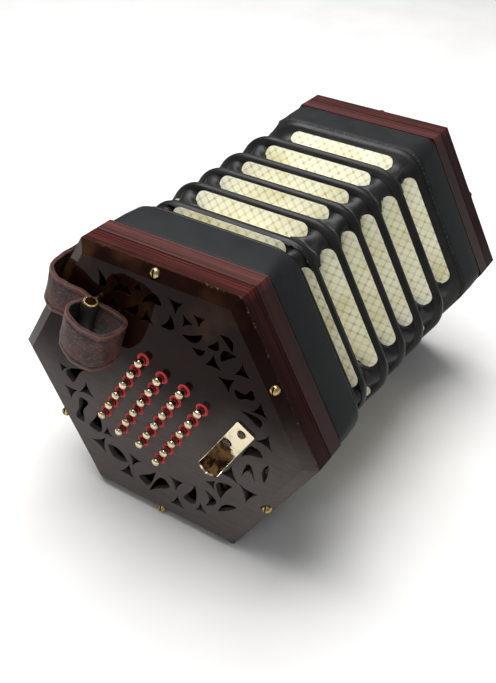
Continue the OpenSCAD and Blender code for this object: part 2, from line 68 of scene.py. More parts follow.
# ---- Materials ----
class Shader:
    """A Principled material, with short calls for the nodes that feed it."""

    def __init__(self, name, **sockets):
        self.material = bpy.data.materials.new(name)
        self.material.use_nodes = True
        self.tree = self.material.node_tree
        self.bsdf = self.tree.nodes["Principled BSDF"]
        for key, value in sockets.items():
            self.bsdf.inputs[key.replace("_", " ")].default_value = value
        self.coords = self.tree.nodes.new("ShaderNodeTexCoord")

    def node(self, kind, inputs=None, **props):
        n = self.tree.nodes.new(kind)
        for key, value in props.items():
            setattr(n, key, value)
        for key, value in (inputs or {}).items():
            if isinstance(value, bpy.types.NodeSocket):
                self.tree.links.new(value, n.inputs[key])
            else:
                n.inputs[key].default_value = value
        return n

    def math(self, operation, a, b=0.0, c=0.0):
        return self.node("ShaderNodeMath", {0: a, 1: b, 2: c}, operation=operation).outputs[0]

    def times(self, a, b):
        return self.math("MULTIPLY", a, b)

    def apart(self, a, b):
        """How far apart two values are."""
        return self.math("ABSOLUTE", self.math("SUBTRACT", a, b))

    def axes(self, space="Object"):
        return self.node("ShaderNodeSeparateXYZ", {0: self.coords.outputs[space]}).outputs

    def scaled(self, scale, vector=None):
        """Coordinates multiplied along each axis: the object's own, where no vector is given."""
        if vector is None:
            vector = self.coords.outputs["Object"]
        return self.node("ShaderNodeMapping", {"Vector": vector, "Scale": scale}).outputs[0]

    def noise(self, vector, scale, detail, roughness):
        return self.node("ShaderNodeTexNoise", {"Vector": vector, "Scale": scale, "Detail": detail,
                                                "Roughness": roughness}).outputs["Fac"]

    def clouds(self, scale, detail, roughness):
        """Noise at the same scale along all three axes."""
        return self.noise(self.scaled((scale, scale, scale)), 1, detail, roughness)

    def ramp(self, value, low, high, to=(0.0, 1.0)):
        """Maps value smoothly from low..high to the two ends of to."""
        return self.node("ShaderNodeMapRange", {"Value": value, "From Min": low, "From Max": high,
                                                "To Min": to[0], "To Max": to[1]},
                         interpolation_type="SMOOTHSTEP").outputs[0]

    def mix(self, factor, a, b):
        n = self.node("ShaderNodeMix", {0: factor}, data_type="RGBA")
        for index, value in ((6, a), (7, b)):
            if isinstance(value, bpy.types.NodeSocket):
                self.tree.links.new(value, n.inputs[index])
            else:
                n.inputs[index].default_value = (*value, 1)
        return n.outputs[2]

    def bump(self, height, strength, distance, normal=None):
        inputs = {"Height": height, "Strength": strength, "Distance": distance}
        if normal is not None:
            inputs["Normal"] = normal
        return self.node("ShaderNodeBump", inputs).outputs[0]

    def round_edges(self, radius):
        return self.node("ShaderNodeBevel", {"Radius": radius}, samples=4).outputs[0]

    def edges(self, radius, low, high):
        """1 on sharp edges of the mesh and 0 away from them."""
        rounded = self.round_edges(radius)
        flat = self.node("ShaderNodeNewGeometry").outputs["True Normal"]
        dot = self.node("ShaderNodeVectorMath", {0: rounded, 1: flat}, operation="DOT_PRODUCT")
        return self.ramp(dot.outputs["Value"], high, low)

    def hex_distance(self):
        """Distance from the instrument's axis, measured square to the nearest side, in mm."""
        x, y, z = self.axes()
        up = self.math("SUBTRACT", z, APOTHEM * MM)
        down = self.times(up, 0.5)
        a = self.math("ABSOLUTE", self.math("MULTIPLY_ADD", y, math.cos(math.pi / 6), down))
        b = self.math("ABSOLUTE", self.math("MULTIPLY_ADD", y, -math.cos(math.pi / 6), down))
        top = self.math("MAXIMUM", self.math("ABSOLUTE", up), self.math("MAXIMUM", a, b))
        return self.times(top, 1 / MM)

    def depth(self):
        """Distance inwards from the outer edge of the wooden ends, in mm."""
        return self.math("MULTIPLY_ADD", self.math("ABSOLUTE", self.axes()[0]), -1 / MM, HALF_LENGTH)

    def set(self, **links):
        for key, socket in links.items():
            self.tree.links.new(socket, self.bsdf.inputs[key.replace("_", " ")])
        return self.material


def wood_colour(s, depth, out):
    """Colour and grain of the walls: darkened by handling towards the outer edge, with painted shade below
    the top face.
    """
    along = s.times(s.math("ADD", s.axes()[1], s.axes()[2]), 7.0)
    grain_at = s.node("ShaderNodeCombineXYZ", {0: depth, 1: along, 2: out}).outputs[0]
    grain = s.noise(grain_at, 1.1, 6, 0.62)
    streak = s.noise(grain_at, 0.35, 3, 0.5)
    pores = s.ramp(s.noise(grain_at, 3.6, 2, 0.5), 0.56, 0.66)
    colour = s.mix(s.ramp(grain, 0.3, 0.7), (0.036, 0.0080, 0.0066), (0.118, 0.0290, 0.0235))
    colour = s.mix(s.ramp(streak, 0.35, 0.7, (0, 0.6)), colour, (0.014, 0.0025, 0.0025))
    colour = s.mix(s.times(pores, 0.5), colour, (0.009, 0.002, 0.002))
    handled = s.times(s.ramp(depth, 7.5, 1.5), s.ramp(s.clouds(45, 4, 0.6), 0.3, 0.6, (0.45, 1.0)))
    colour = s.mix(s.times(handled, 0.7), colour, (0.013, 0.0055, 0.0040))
    top = 2 * APOTHEM * MM
    # Painted shade: the walls are darkened below the top face, so that the top reads lighter than the sides.
    shaded_below_top = s.ramp(s.axes()[2], top - 0.0006, top - 0.0050, (0, 0.78))
    colour = s.mix(shaded_below_top, colour, (0.012, 0.0045, 0.0045))
    for line, width in ((WALL_DEPTH, 0.35), (WALL_DEPTH - 2.2, 0.3)):
        groove = s.ramp(s.apart(depth, line), width, width * 0.4)
        colour = s.mix(s.times(groove, 0.85), colour, (0.006, 0.002, 0.002))
    return colour, grain


def rosewood():
    """Reddish straight-grained wood, the grain running round the sides."""
    s = Shader("rosewood", Roughness=0.42, Specular_IOR_Level=0.16, Coat_Weight=0.06, Coat_Roughness=0.25)
    depth, out = s.depth(), s.hex_distance()
    colour, grain = wood_colour(s, depth, out)
    wear_and_shade = s.times(s.edges(0.0009, 0.86, 0.985), s.ramp(grain, 0.42, 0.62))
    colour = s.mix(s.times(wear_and_shade, 0.35), colour, (0.30, 0.09, 0.05))
    return s.set(Base_Color=colour, Roughness=s.ramp(grain, 0.2, 0.8, (0.30, 0.48)),
                 Normal=s.bump(grain, 0.12, 0.0003, s.round_edges(0.0006)))


def polished_panel():
    """Polished plate, grey low down as painted reflection and dark brown higher up as painted shadow and dark
    reflection, with amber patches higher up, its edges thinly rubbed.
    """
    s = Shader("polished_panel", Roughness=0.3, Specular_IOR_Level=0.0, Coat_Weight=1.0,
               Coat_Roughness=0.04, Coat_IOR=1.16)
    out, depth, z = s.hex_distance(), s.depth(), s.axes()[2]
    grain = s.noise(s.scaled((60, 60, 900)), 1, 6, 0.6)
    cloud = s.clouds(22, 3, 0.5)
    # Painted reflection: the grey base, with its grain, stands in for the pale floor reflected in the polish.
    colour = s.mix(s.ramp(grain, 0.3, 0.72), (0.086, 0.071, 0.066), (0.104, 0.087, 0.081))
    # Painted shadow and dark reflection: the plate turns dark brown higher up.
    painted_shade_high = s.ramp(s.math("MULTIPLY_ADD", cloud, 0.05, z), 0.082, 0.130)
    colour = s.mix(painted_shade_high, colour, (0.010, 0.0030, 0.0022))
    amber = s.times(s.ramp(cloud, 0.44, 0.64, (0, 0.9)), s.ramp(z, 0.105, 0.135))
    colour = s.mix(amber, colour, (0.058, 0.025, 0.009))
    side = s.ramp(depth, -0.4, 0.4)
    wood, _ = wood_colour(s, depth, out)
    colour = s.mix(side, colour, wood)
    fine = s.clouds(700, 2, 0.5)
    edge = s.times(s.edges(0.0004, 0.80, 0.985), s.ramp(fine, 0.44, 0.66))
    colour = s.mix(s.times(edge, 0.30), colour, (0.36, 0.20, 0.10))
    rim = s.times(s.ramp(out, APOTHEM - 0.9, APOTHEM - 0.3), s.ramp(depth, 0.6, 0.1))
    rim = s.times(rim, s.ramp(s.clouds(230, 5, 0.7), 0.54, 0.64))
    colour = s.mix(s.times(rim, 0.28), colour, (0.36, 0.20, 0.11))
    dust = s.ramp(s.clouds(95, 5, 0.7), 0.5, 0.8, (0.25, 0.5))
    return s.set(Base_Color=colour, Roughness=dust,
                 Normal=s.bump(grain, 0.03, 0.0002, s.round_edges(0.0004)))


def leather(name, dark, light, roughness, crease=0.5, edge_wear=None, shine=0.5):
    """Grained leather: fine pebbles, soft creases and a rubbed surface."""
    s = Shader(name, Roughness=roughness, Specular_IOR_Level=shine)
    pebble = s.node("ShaderNodeTexVoronoi", {"Vector": s.coords.outputs["Object"], "Scale": 1400.0},
                    feature="SMOOTH_F1").outputs["Distance"]
    creases = s.clouds(260, 5, 0.65)
    rubbed = s.clouds(55, 5, 0.6)
    colour = s.mix(s.ramp(rubbed, 0.35, 0.72), dark, light)
    colour = s.mix(s.ramp(creases, 0.55, 0.75, (0, 0.5)), colour, dark)
    if edge_wear:
        wear_and_shade = s.times(edge_wear(s), s.ramp(s.clouds(900, 3, 0.7), 0.50, 0.62))
        colour = s.mix(wear_and_shade, colour, (0.42, 0.40, 0.36))
    height = s.math("MULTIPLY_ADD", creases, crease, pebble)
    dullness = s.ramp(rubbed, 0.25, 0.75, (roughness - 0.07, roughness + 0.12))
    return s.set(Base_Color=colour, Roughness=dullness, Normal=s.bump(height, 0.22, 0.0002))


STRAP_STEP = 2.4            # in the strap's UV layer, from one point of its path to the next
INSIDE_SHADE = (185, 215)         # in the same units, where the painted shade inside the loop begins and where it is full


def strap_leather():
    """Old brown strap: streaked along its length, reddish and rubbed at its edges, and near-black inside its
    loop as painted shade.

    Its UV layer runs along the strap, and across it from 0 to 1 on one face and on to 2 on the other.
    """
    s = Shader("strap_leather", Roughness=0.5, Specular_IOR_Level=0.4)
    along, across = s.axes("UV")[0], s.axes("UV")[1]
    # Painted shade on the loop's inner face, from this place along the strap onwards.
    inside_shade = s.times(s.ramp(across, 1.02, 1.0), s.ramp(along, *INSIDE_SHADE))
    where = s.node("ShaderNodeCombineXYZ", {0: s.times(along, 0.10), 1: across}).outputs[0]
    streaks = s.noise(s.scaled((1, 18, 1), where), 1.6, 6, 0.7)
    patches = s.clouds(85, 6, 0.7)
    grain = s.clouds(1500, 3, 0.6)
    colour = s.mix(s.ramp(patches, 0.40, 0.62), (0.013, 0.0045, 0.0040), (0.085, 0.030, 0.022))
    colour = s.mix(s.times(s.ramp(streaks, 0.52, 0.64), 0.8), colour, (0.220, 0.100, 0.076))
    red = s.ramp(s.clouds(140, 5, 0.7), 0.56, 0.68)
    colour = s.mix(s.times(red, 0.7), colour, (0.13, 0.036, 0.022))
    rim = s.ramp(s.apart(s.math("FRACT", across), 0.5), 0.40, 0.485)
    rubbed = s.times(rim, s.ramp(grain, 0.3, 0.6, (0.35, 0.8)))
    colour = s.mix(rubbed, colour, (0.22, 0.085, 0.060))
    # Colour of the painted shade inside the loop: near-black with faint greyer patches.
    grey = s.mix(s.ramp(patches, 0.3, 0.7), (0.004, 0.003, 0.004), (0.022, 0.019, 0.021))
    colour = s.mix(inside_shade, colour, grey)
    height = s.math("MULTIPLY_ADD", streaks, 2.4, s.math("MULTIPLY_ADD", patches, 1.6, grain))
    return s.set(Base_Color=colour, Roughness=s.ramp(patches, 0.3, 0.7, (0.38, 0.66)),
                 Normal=s.bump(height, 0.6, 0.0007))


def frame_edge(s):
    """Where the frame's leather is rubbed, along the bellows' side."""
    off = s.apart(s.depth(), FRAME_IN - 1.6)
    return s.ramp(off, 0.9, 0.1, (0, 0.12))


def bellows_paper():
    """Cream paper printed with an olive lattice of interlaced rings, with dots where they cross."""
    s = Shader("bellows_paper", Roughness=0.62, Specular_IOR_Level=0.3)
    u, v = s.axes("UV")[0], s.axes("UV")[1]
    pitch = 5.8

    def cell(offset_u, offset_v):
        """Distance from the nearest point of a square grid, in pitches."""
        cu = s.math("SUBTRACT", s.math("FRACT", s.math("MULTIPLY_ADD", u, 1 / pitch, offset_u)), 0.5)
        cv = s.math("SUBTRACT", s.math("FRACT", s.math("MULTIPLY_ADD", v, 1 / pitch, offset_v)), 0.5)
        return s.math("SQRT", s.math("ADD", s.times(cu, cu), s.times(cv, cv)))

    diagonals = []
    for sign in (1, -1):
        t = s.math("MULTIPLY_ADD", u, 1 / pitch, s.times(v, sign / pitch))
        diagonals.append(s.ramp(s.apart(s.math("FRACT", t), 0.5), 0.10, 0.04))
    lines = s.times(s.math("MAXIMUM", diagonals[0], diagonals[1]), 0.55)
    rings = [s.ramp(s.apart(cell(*o), 0.37), 0.075, 0.03)
             for o in ((0.0, 0.0), (0.5, 0.5))]
    ring = s.times(s.math("MAXIMUM", rings[0], rings[1]), 0.5)
    dot = s.math("MAXIMUM", s.ramp(cell(0.5, 0.0), 0.20, 0.08), s.ramp(cell(0.0, 0.5), 0.20, 0.08))
    ink = s.math("MAXIMUM", s.math("MAXIMUM", lines, ring), dot)
    faded = s.ramp(s.clouds(260, 5, 0.7), 0.35, 0.65, (0.35, 1.0))
    stain = s.clouds(48, 5, 0.6)
    colour = s.mix(s.ramp(stain, 0.4, 0.75), (0.87, 0.85, 0.67), (0.70, 0.65, 0.40))
    colour = s.mix(s.times(s.times(ink, faded), 0.72), colour, (0.30, 0.26, 0.08))
    fibre = s.clouds(2200, 2, 0.6)
    return s.set(Base_Color=colour, Normal=s.bump(fibre, 0.1, 0.0001))


def metal(name, colour, tarnish_and_shade, roughness, scale=260.0):
    """Old metal, tarnished in clouds, with painted shade in its slots and hollows, and fine scratches."""
    s = Shader(name, Metallic=1.0, Roughness=roughness)
    clouds = s.clouds(scale, 5, 0.6)
    scratches = s.noise(s.scaled((2600, 420, 420)), 1, 2, 0.5)
    base = s.mix(s.ramp(clouds, 0.45, 0.75), colour, tarnish_and_shade)
    # Painted shade: darkened where ambient occlusion finds slots and hollows.
    slot_shade = s.node("ShaderNodeAmbientOcclusion", {"Distance": 0.0012}, samples=8).outputs["AO"]
    base = s.mix(s.ramp(slot_shade, 0.75, 0.40), base, (0.010, 0.007, 0.004))
    return s.set(Base_Color=base, Roughness=s.ramp(clouds, 0.3, 0.75, (roughness * 0.8, roughness * 1.9)),
                 Normal=s.bump(scratches, 0.05, 0.0001))


def finger_plate_metal():
    """Bright plated metal, its lip darkened brown as painted shade, the lip's edges left bright."""
    s = Shader("nickel_plate", Metallic=1.0, Roughness=0.08)
    across, along = s.axes("UV")[0], s.axes("UV")[1]
    clouds = s.clouds(150, 5, 0.65)
    base = s.mix(s.ramp(clouds, 0.5, 0.8), (0.80, 0.72, 0.53), (0.50, 0.39, 0.22))
    # Painted shade: the lip is darkened from a ragged line onwards, while its edges stay bright.
    ragged = s.math("MULTIPLY_ADD", s.clouds(330, 5, 0.7), 0.34, along)
    wear_and_shade = s.ramp(s.math("MULTIPLY_ADD", across, -0.20, ragged), 0.56, 0.59)
    edge = s.math("MAXIMUM", s.ramp(s.apart(across, 0.5), 0.462, 0.478),
                  s.ramp(along, 0.980, 0.990))
    wear_and_shade = s.times(wear_and_shade, s.math("SUBTRACT", 1.0, edge))
    # Dark brown of the lip's painted shade, in clouds.
    tarnish_and_shade = s.mix(s.ramp(clouds, 0.46, 0.58), (0.026, 0.014, 0.006), (0.130, 0.070, 0.028))
    base = s.mix(wear_and_shade, base, tarnish_and_shade)
    scratches = s.noise(s.scaled((2600, 420, 420)), 1, 2, 0.5)
    shine = s.math("MULTIPLY_ADD", wear_and_shade, 0.26, s.ramp(clouds, 0.3, 0.75, (0.06, 0.20)))
    return s.set(Base_Color=base, Roughness=shine, Normal=s.bump(scratches, 0.04, 0.0001))


def button_metal():
    """Nickel-silver buttons: bright caps, and stalks darkened as painted reflection of the dark plate."""
    s = Shader("button_metal", Metallic=1.0, Roughness=0.1)
    clouds = s.clouds(420, 4, 0.6)
    cap = s.mix(s.ramp(clouds, 0.42, 0.7), (0.72, 0.63, 0.42), (0.42, 0.34, 0.18))
    # Painted reflection: the stalks' darker colour stands in for the dark plate that they reflect.
    stalk_painted_reflection = s.mix(s.ramp(clouds, 0.4, 0.7), (0.52, 0.46, 0.38), (0.26, 0.22, 0.17))
    base = s.mix(s.ramp(s.depth(), -8.0, -7.6), cap, stalk_painted_reflection)
    return s.set(Base_Color=base, Roughness=s.ramp(clouds, 0.3, 0.75, (0.07, 0.2)),
                 Normal=s.bump(clouds, 0.03, 0.0001))


def felt():
    """Red wool felt with loose fibres."""
    s = Shader("red_felt", Roughness=0.95, Sheen_Weight=0.6, Sheen_Roughness=0.5)
    s.bsdf.inputs["Sheen Tint"].default_value = (1.0, 0.35, 0.3, 1)
    fibres = s.clouds(2400, 5, 0.75)
    colour = s.mix(s.ramp(fibres, 0.3, 0.7), (0.36, 0.012, 0.018), (0.78, 0.045, 0.06))
    return s.set(Base_Color=colour, Normal=s.bump(fibres, 0.8, 0.0004))


def pale_wood():
    """Sycamore of the inner boards, darkened by age."""
    s = Shader("aged_sycamore", Roughness=0.7)
    grain = s.noise(s.scaled((200, 30, 400)), 1, 5, 0.6)
    colour = s.mix(s.ramp(grain, 0.3, 0.7), (0.10, 0.060, 0.032), (0.19, 0.12, 0.065))
    return s.set(Base_Color=colour, Normal=s.bump(grain, 0.15, 0.0003))


BELLOWS_BLACK = ((0.004, 0.004, 0.004), (0.011, 0.010, 0.010))
MATERIALS = {
    "rosewood": rosewood(),
    "panel": polished_panel(),
    "frame_leather": leather("frame_leather", (0.008, 0.009, 0.0095), (0.014, 0.015, 0.0155), 0.55,
                             edge_wear=frame_edge, shine=0.15),
    "ridge_leather": leather("ridge_leather", *BELLOWS_BLACK, 0.42, shine=0.26),
    "gusset": leather("gusset_leather", *BELLOWS_BLACK, 0.44, crease=6.0, shine=0.3),
    "strap": strap_leather(),
    "sleeve": leather("sleeve_leather", (0.005, 0.004, 0.004), (0.022, 0.014, 0.012), 0.5, crease=1.5),
    "paper": bellows_paper(),
    "brass": metal("aged_brass", (0.62, 0.46, 0.20), (0.20, 0.13, 0.05), 0.22),
    "bolt": metal("aged_bolt", (0.52, 0.38, 0.15), (0.085, 0.055, 0.022), 0.26, 420.0),
    "nickel": finger_plate_metal(),
    "screw": metal("dark_screw", (0.12, 0.10, 0.07), (0.030, 0.024, 0.017), 0.34, 500.0),
    "button": button_metal(),
    "felt": felt(),
    "pale_wood": pale_wood(),
}


# ---- Mesh helpers ----
def at_end(side, x, y, z):
    """A point given inwards from an end's outer edge and from the hexagon's centre, in metres."""
    along = -HALF_LENGTH + x if side == NEAR else HALF_LENGTH - x
    return Vector((along, y, z + APOTHEM)) * MM


def make(name, points, faces, material, smooth=True):
    """A mesh object from points in metres, with one material."""
    mesh = bpy.data.meshes.new(name)
    mesh.from_pydata([tuple(p) for p in points], [], faces)
    mesh.validate()
    mesh.materials.append(MATERIALS[material])
    mesh.polygons.foreach_set("use_smooth", [smooth] * len(mesh.polygons))
    obj = bpy.data.objects.new(name, mesh)
    bpy.context.scene.collection.objects.link(obj)
    return obj


def fix_normals(obj):
    """Turns every face outwards."""
    bpy.context.view_layer.objects.active = obj
    obj.select_set(True)
    bpy.ops.object.mode_set(mode="EDIT")
    bpy.ops.mesh.select_all(action="SELECT")
    bpy.ops.mesh.normals_make_consistent(inside=False)
    bpy.ops.object.mode_set(mode="OBJECT")
    obj.select_set(False)
    return obj


def grid_faces(rows, columns, wrap_rows=True, wrap_columns=True, base=0):
    """Quads between points listed row by row, closed round in either direction where it wraps."""
    faces = []
    for r in range(rows if wrap_rows else rows - 1):
        for c in range(columns if wrap_columns else columns - 1):
            r2, c2 = (r + 1) % rows, (c + 1) % columns
            faces.append([base + r * columns + c, base + r * columns + c2,
                          base + r2 * columns + c2, base + r2 * columns + c])
    return faces


def set_uv(obj, name, places):
    """Gives each vertex its own place in a UV layer."""
    layer = obj.data.uv_layers.new(name=name)
    for loop in obj.data.loops:
        layer.data[loop.index].uv = places[loop.vertex_index]


def spread(i, last):
    """Runs from -1 to 1 as i runs from 0 to last, in steps that shorten towards both ends."""
    return math.sin(math.pi / 2 * (2 * i / last - 1))


def facing(side):
    """The angle that a side of the hexagon faces, turning from +y to +z: side 1 is the top."""
    return math.radians(30 + 60 * side)


def hex_outline(apothem, corner, per_side=13, per_corner=9):
    """Points [y, z, side, offset] round a hexagon that stands on a flat, its corners rounded.

    The offset runs from -1 to 1 along a side and on to 2 round the corner after it.
    """
    points = []
    half = (apothem - corner) * math.tan(math.pi / 6)
    for k in range(SIDES):
        a = facing(k)
        for i in range(per_side):
            t = half * spread(i, per_side - 1)
            points.append((apothem * math.cos(a) - t * math.sin(a), apothem * math.sin(a) + t * math.cos(a),
                           k, t / half))
        centre = (apothem - corner) / math.cos(math.pi / 6)
        b = a + math.pi / 6
        for i in range(1, per_corner):
            c = a + math.pi / 3 * i / per_corner
            points.append((centre * math.cos(b) + corner * math.cos(c),
                           centre * math.sin(b) + corner * math.sin(c), k, 1 + i / per_corner))
    return points


# ---- Bellows ----
CARD = 28.0                     # from the apex over a ridge down to the valley
CARD_THICK = 1.7
APEX = APOTHEM + 2.0            # where the planes of two cards meet over a ridge
FRAME_APEX = APOTHEM - 0.6      # where the first and last cards meet their frames
RIDGE_CORNER, VALLEY_CORNER = 22.0, 3.0
UNDER_BINDING = 5.8             # the cards start this far down from a ridge, under its leather binding
GUSSET_START, GUSSET_RISE = 7.4, 6.0    # gussets begin this far from a corner, and are full this much nearer
GUSSET_LOW, GUSSET_SAG = 5.0, 0.21      # below the ridge, and share of the fold's depth lost by the valley
CREASE_SHARE = 0.8 / 90                 # size of the gussets' small creases, as a share of the radius
PAPER_HALF = [34.6] * 3 + [32.0] * 3    # half-length of the papers: shorter on the three lower sides
PAPER_FROM_RIDGE, PAPER_FROM_FRAME, PAPER_FROM_VALLEY = 6.5, 5.4, 4.0
PAPER_TOP, PAPER_UNDER = 0.42, -0.1     # levels of a paper's two faces above the card


class Card:
    """Card c of fold k: c is 0 beside its left-hand end and 1 beside its right-hand end."""

    def __init__(self, k, c):
        gap = STATIONS[k + 1] - STATIONS[k]
        self.k = k
        self.foot = STATIONS[k + c]
        direction = 1 - 2 * c
        self.at_frame = k + c in (0, FOLDS)
        self.apex = FRAME_APEX if self.at_frame else APEX
        self.valley = APEX - math.sqrt(CARD ** 2 - (gap / 2) ** 2)
        self.length = math.hypot(gap / 2, self.apex - self.valley)
        self.run = direction * gap / 2 / self.length
        self.fall = (self.apex - self.valley) / self.length
        self.lift = (direction * self.fall, abs(self.run))

    def at(self, down, lift=0.0):
        """Distances along the instrument and from its axis, at this far down the card."""
        return (self.foot + self.run * down + self.lift[0] * lift,
                self.apex - self.fall * down + self.lift[1] * lift)

    def wrinkle(self, share, side, offset):
        """Small creases round a corner, as a factor on the distance from the axis."""
        if offset <= 1:
            return 1.0
        bend = offset - 1
        wave = math.sin(math.pi * bend) * math.cos(11 * bend + 2.1 * side + 1.7 * self.k)
        return 1 + CREASE_SHARE * share * wave

    def ring(self, down, lift=0.0):
        """Points of the card's surface round the hexagon, with the gussets puffed out at the corners."""
        x, apothem = self.at(down, lift)
        share = max(0.0, min(1.0, down / self.length))
        sag = GUSSET_SAG * (APEX - self.valley) * share ** 1.6
        full = hex_outline(max(apothem, self.apex - GUSSET_LOW - sag + lift), RIDGE_CORNER)
        flat = hex_outline(apothem, RIDGE_CORNER - (RIDGE_CORNER - VALLEY_CORNER) * share)
        points = []
        for (y, z, side, offset), (fy, fz, _, _) in zip(flat, full):
            turn = facing(side + 1 if offset > 1.5 else side)
            from_corner = apothem * math.tan(math.pi / 6) - abs(z * math.cos(turn) - y * math.sin(turn))
            reach = max(0.0, min(1.0, (GUSSET_START - from_corner) / GUSSET_RISE))
            pull = reach * reach * (3 - 2 * reach)
            grow = self.wrinkle(share, side, offset)
            y, z = (y + (fy - y) * pull) * grow, (z + (fz - z) * pull) * grow
            points.append(Vector((x, y, APOTHEM + z)) * MM)
        return points


def ring_shell(name, rings, material):
    """A closed shell through rings that all have the same number of points."""
    points = [p for ring in rings for p in ring]
    obj = make(name, points, grid_faces(len(rings), len(rings[0])), material)
    return fix_normals(obj)


def bellows_fold(k):
    """One fold: two cards meeting in a valley, with soft leather gussets at the corners."""
    left, right = Card(k, 0), Card(k, 1)
    rings, steps = [], 9
    for lift, cards in ((0.0, (left, right)), (-CARD_THICK, (right, left))):
        for card, order in zip(cards, (1, -1)):
            start = 0.0 if card.at_frame else UNDER_BINDING
            downs = [start + (card.length - start) * i / steps for i in range(steps + 1)]
            rings += [card.ring(d, lift) for d in downs[::order]]
    obj = ring_shell("bellows_fold_%d" % (k + 1), rings, "gusset")
    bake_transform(obj)
    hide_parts("bellows_skin")


def ridge_binding(k):
    """The leather strip folded over ridge k and glued to the cards on both sides."""
    left, right = Card(k - 1, 1), Card(k, 0)
    crown, proud, legs, arc_steps = 3.0, 0.25, 8.0, 8
    leg = [(legs, 0.02), (legs - 0.5, proud * 0.7), (legs - 1.4, proud)]
    under = [(legs - 0.6, -1.0), (5.6, -1.0)]
    rings = [left.ring(*place) for place in leg]
    angle = [math.atan2(card.lift[1], card.lift[0]) for card in (left, right)]
    tilt = (angle[0] + angle[1]) / 2
    centre = (crown - proud) / math.cos((angle[0] - angle[1]) / 2)
    cx, cn = STATIONS[k] - centre * math.cos(tilt), APEX - centre * math.sin(tilt)
    for i in range(arc_steps + 1):
        a = angle[0] + (angle[1] - angle[0]) * i / arc_steps
        n = cn + crown * math.sin(a)
        rings.append([Vector((cx + crown * math.cos(a), y, APOTHEM + z)) * MM
                      for y, z, _, _ in hex_outline(n, RIDGE_CORNER + n - APOTHEM)])
    rings += [right.ring(*place) for place in leg[::-1] + under]
    rings += [left.ring(*place) for place in under[::-1]]
    obj = ring_shell("ridge_binding_%d" % k, rings, "ridge_leather")
    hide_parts("bellows_ridge_%d" % k)
    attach(obj, "ridge_%d" % k)


def paper_outline(half, low, high, radius=4.6, steps=6):
    """Outline of one paper on a card: [along, down], its outer corners round, its inner ones cut."""
    points = []
    for i in range(steps + 1):
        a = math.pi / 2 * i / steps
        points.append((half - radius + radius * math.sin(a), low + radius - radius * math.cos(a)))
    cut = half - 8
    points += [(half, high - 10.0), (half - 1.0, high - 8.2), (cut + 1.2, high - 0.9), (cut - 0.6, high)]
    return points + [(-u, v) for u, v in reversed(points)]


def bellows_papers(k):
    """The cream papers of one fold, one on each face of its twelve cards."""
    points, faces, uvs = [], [], []
    for side in range(SIDES):
        a = facing(side)
        for card in (Card(k, 0), Card(k, 1)):
            start = PAPER_FROM_FRAME if card.at_frame else PAPER_FROM_RIDGE
            outline = paper_outline(PAPER_HALF[side], start, card.length - PAPER_FROM_VALLEY)
            base, count = len(points), len(outline)
            for level in (PAPER_TOP, PAPER_UNDER):
                for u, v in outline:
                    x, n = card.at(v, level)
                    points.append(Vector((x, n * math.cos(a) - u * math.sin(a),
                                          APOTHEM + n * math.sin(a) + u * math.cos(a))) * MM)
                    uvs.append((u, v))
            faces.append([base + i for i in range(count)])
            faces.append([base + count + i for i in reversed(range(count))])
            faces += [[base + i, base + count + i, base + count + (i + 1) % count, base + (i + 1) % count]
                      for i in range(count)]
    obj = make("bellows_papers_%d" % (k + 1), points, faces, "paper", smooth=False)
    set_uv(obj, "paper_mm", uvs)
    fix_normals(obj)
    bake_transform(obj)


def leather_frame(side):
    """Leather-covered frame: square to the wood, rolled over and rounder at the corners by the bellows."""
    top, inner = APOTHEM, APOTHEM - 10
    roll, corner, extra_corner = 4.0, 8.5, 8.0
    profile = [(WOOD_DEPTH + 0.1, inner + 0.1), (WOOD_DEPTH + 0.1, top - 1.2), (WOOD_DEPTH + 0.35, top - 0.5),
               (WOOD_DEPTH + 1.0, top - 0.1), (WOOD_DEPTH + 2.0, top), (WOOD_DEPTH + 12, top + 0.15)]
    profile += [(FRAME_IN - roll + roll * math.sin(a), top - roll + roll * math.cos(a))
                for a in [math.radians(d) for d in range(0, 91, 15)]]
    profile += [(FRAME_IN, inner + 2), (FRAME_IN - 1.2, inner + 0.1)]
    rings = []
    for x, n in profile:
        rounder = extra_corner * ((x - WOOD_DEPTH) / (FRAME_IN - WOOD_DEPTH)) ** 1.5
        outline = hex_outline(n, max(1.5, corner + rounder + (n - top)))
        rings.append([at_end(side, x, y, z) for y, z, _, _ in outline])
    obj = ring_shell(side + "_leather_frame", rings, "frame_leather")
    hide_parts(side + "_bellows_frame")
    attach(obj, END_BODY[side])


# ---- Thumb strap ----
STRAP_PATH = [
    (79.4, 18), (79.3, 8), (79.1, 1.5), (78.3, -3.5), (75.5, -7.8), (71.5, -10), (67.5, -10.7),
    (63, -10), (59, -8.9), (54, -8.4), (49, -8.4), (44.5, -8.1), (40, -6.9), (35, -6.2), (30.5, -6.6),
    (27.2, -8.8), (26.2, -12.5), (26.3, -17.5), (27.6, -22), (30.8, -25.2), (35, -26.8), (40, -27.3),
    (45.3, -26.5), (49.8, -24.7), (52.5, -22), (53, -18.8), (52, -15.2), (51.2, -11.8)]
STRAP_TURN = math.radians(17.3)
STRAP_TOP, STRAP_WIDTH, STRAP_THICK = 41.0, 22.0, 2.1
LOOP_START, LOOP_SPAN = 0.42, 0.56     # where the loop begins and how long it is, as shares of the strap
LOOP_WIDER, LOOP_LEAN = 3.2, 0.9       # how much wider it is, and how far its lower edge leans out
BRIDGE = (46.3, -13.0)                 # axis of the bridge's tube, along the panel and in depth
# One face, with a tooled line near each edge: place across the width, and share of half the thickness.
FACE_EDGE = [(0.5, 0.75), (0.48, 0.95), (0.43, 1.0), (0.385, 0.9), (0.37, 0.55), (0.355, 0.9), (0.25, 1.0)]
STRAP_FACE = [(-v, t) for v, t in FACE_EDGE] + [(0, 1.05)] + FACE_EDGE[::-1]


def waves(at, *terms):
    """A sum of sine waves, each given by its size, pace and shift."""
    return sum(size * math.sin(pace * at + shift) for size, pace, shift in terms)


